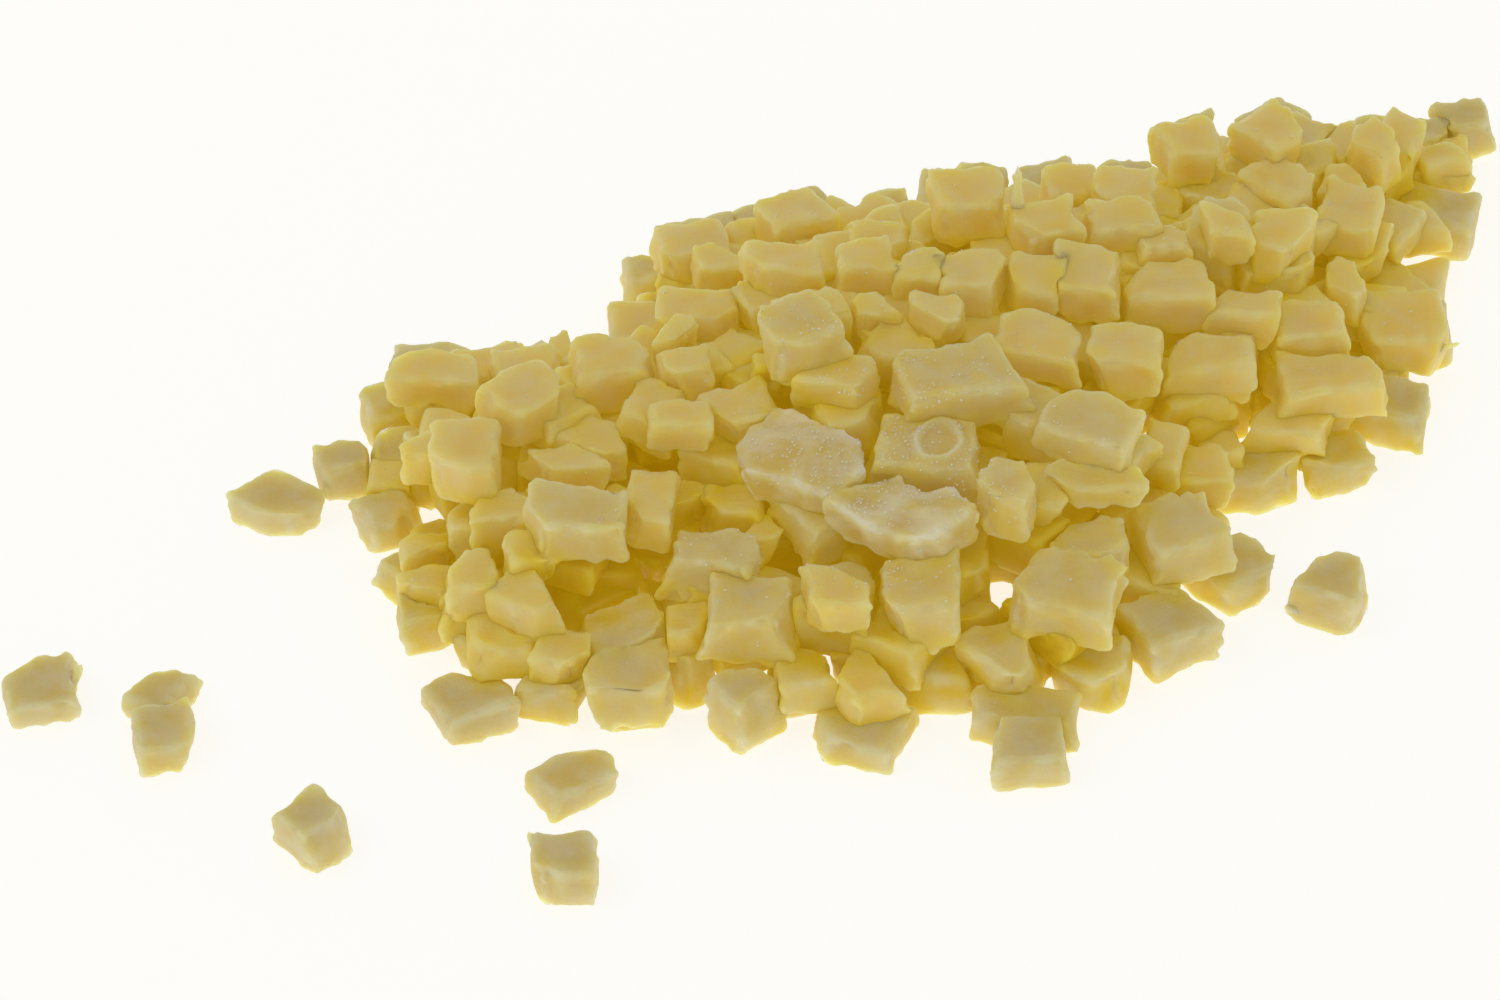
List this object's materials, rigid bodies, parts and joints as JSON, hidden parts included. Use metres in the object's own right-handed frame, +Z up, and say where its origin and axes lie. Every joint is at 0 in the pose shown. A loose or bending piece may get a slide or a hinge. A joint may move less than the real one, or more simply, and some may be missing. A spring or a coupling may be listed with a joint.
{
  "type": "heap of diced candied pineapple",
  "caption": "Loose low heap of small candied pineapple dice, longer than it is wide, with a few dice lying clear of it.",
  "frame": {"origin": "on the surface that the dice lie on, under the middle of the whole's box", "axes": "+X along the heap towards its narrow raised end on the right, +Y away from the viewer, +Z up"},
  "size_m": [0.1906, 0.1466, 0.029],
  "materials": {
    "candied_pineapple": "translucent waxy sugared fruit flesh, pale yellow, amber between the dice",
    "sugared_pineapple": "paler frosted fruit flesh with a thin film of sugar"
  },
  "bodies": {
    "root": {"heap": "candied_pineapple", "die_far_left": "sugared_pineapple", "torn_flake": "sugared_pineapple", "die_in_front_left": "sugared_pineapple", "die_in_front_middle": "sugared_pineapple", "die_nearest": "sugared_pineapple", "die_beside_left_end": "sugared_pineapple", "die_right": "sugared_pineapple"}
  },
  "joints": []
}
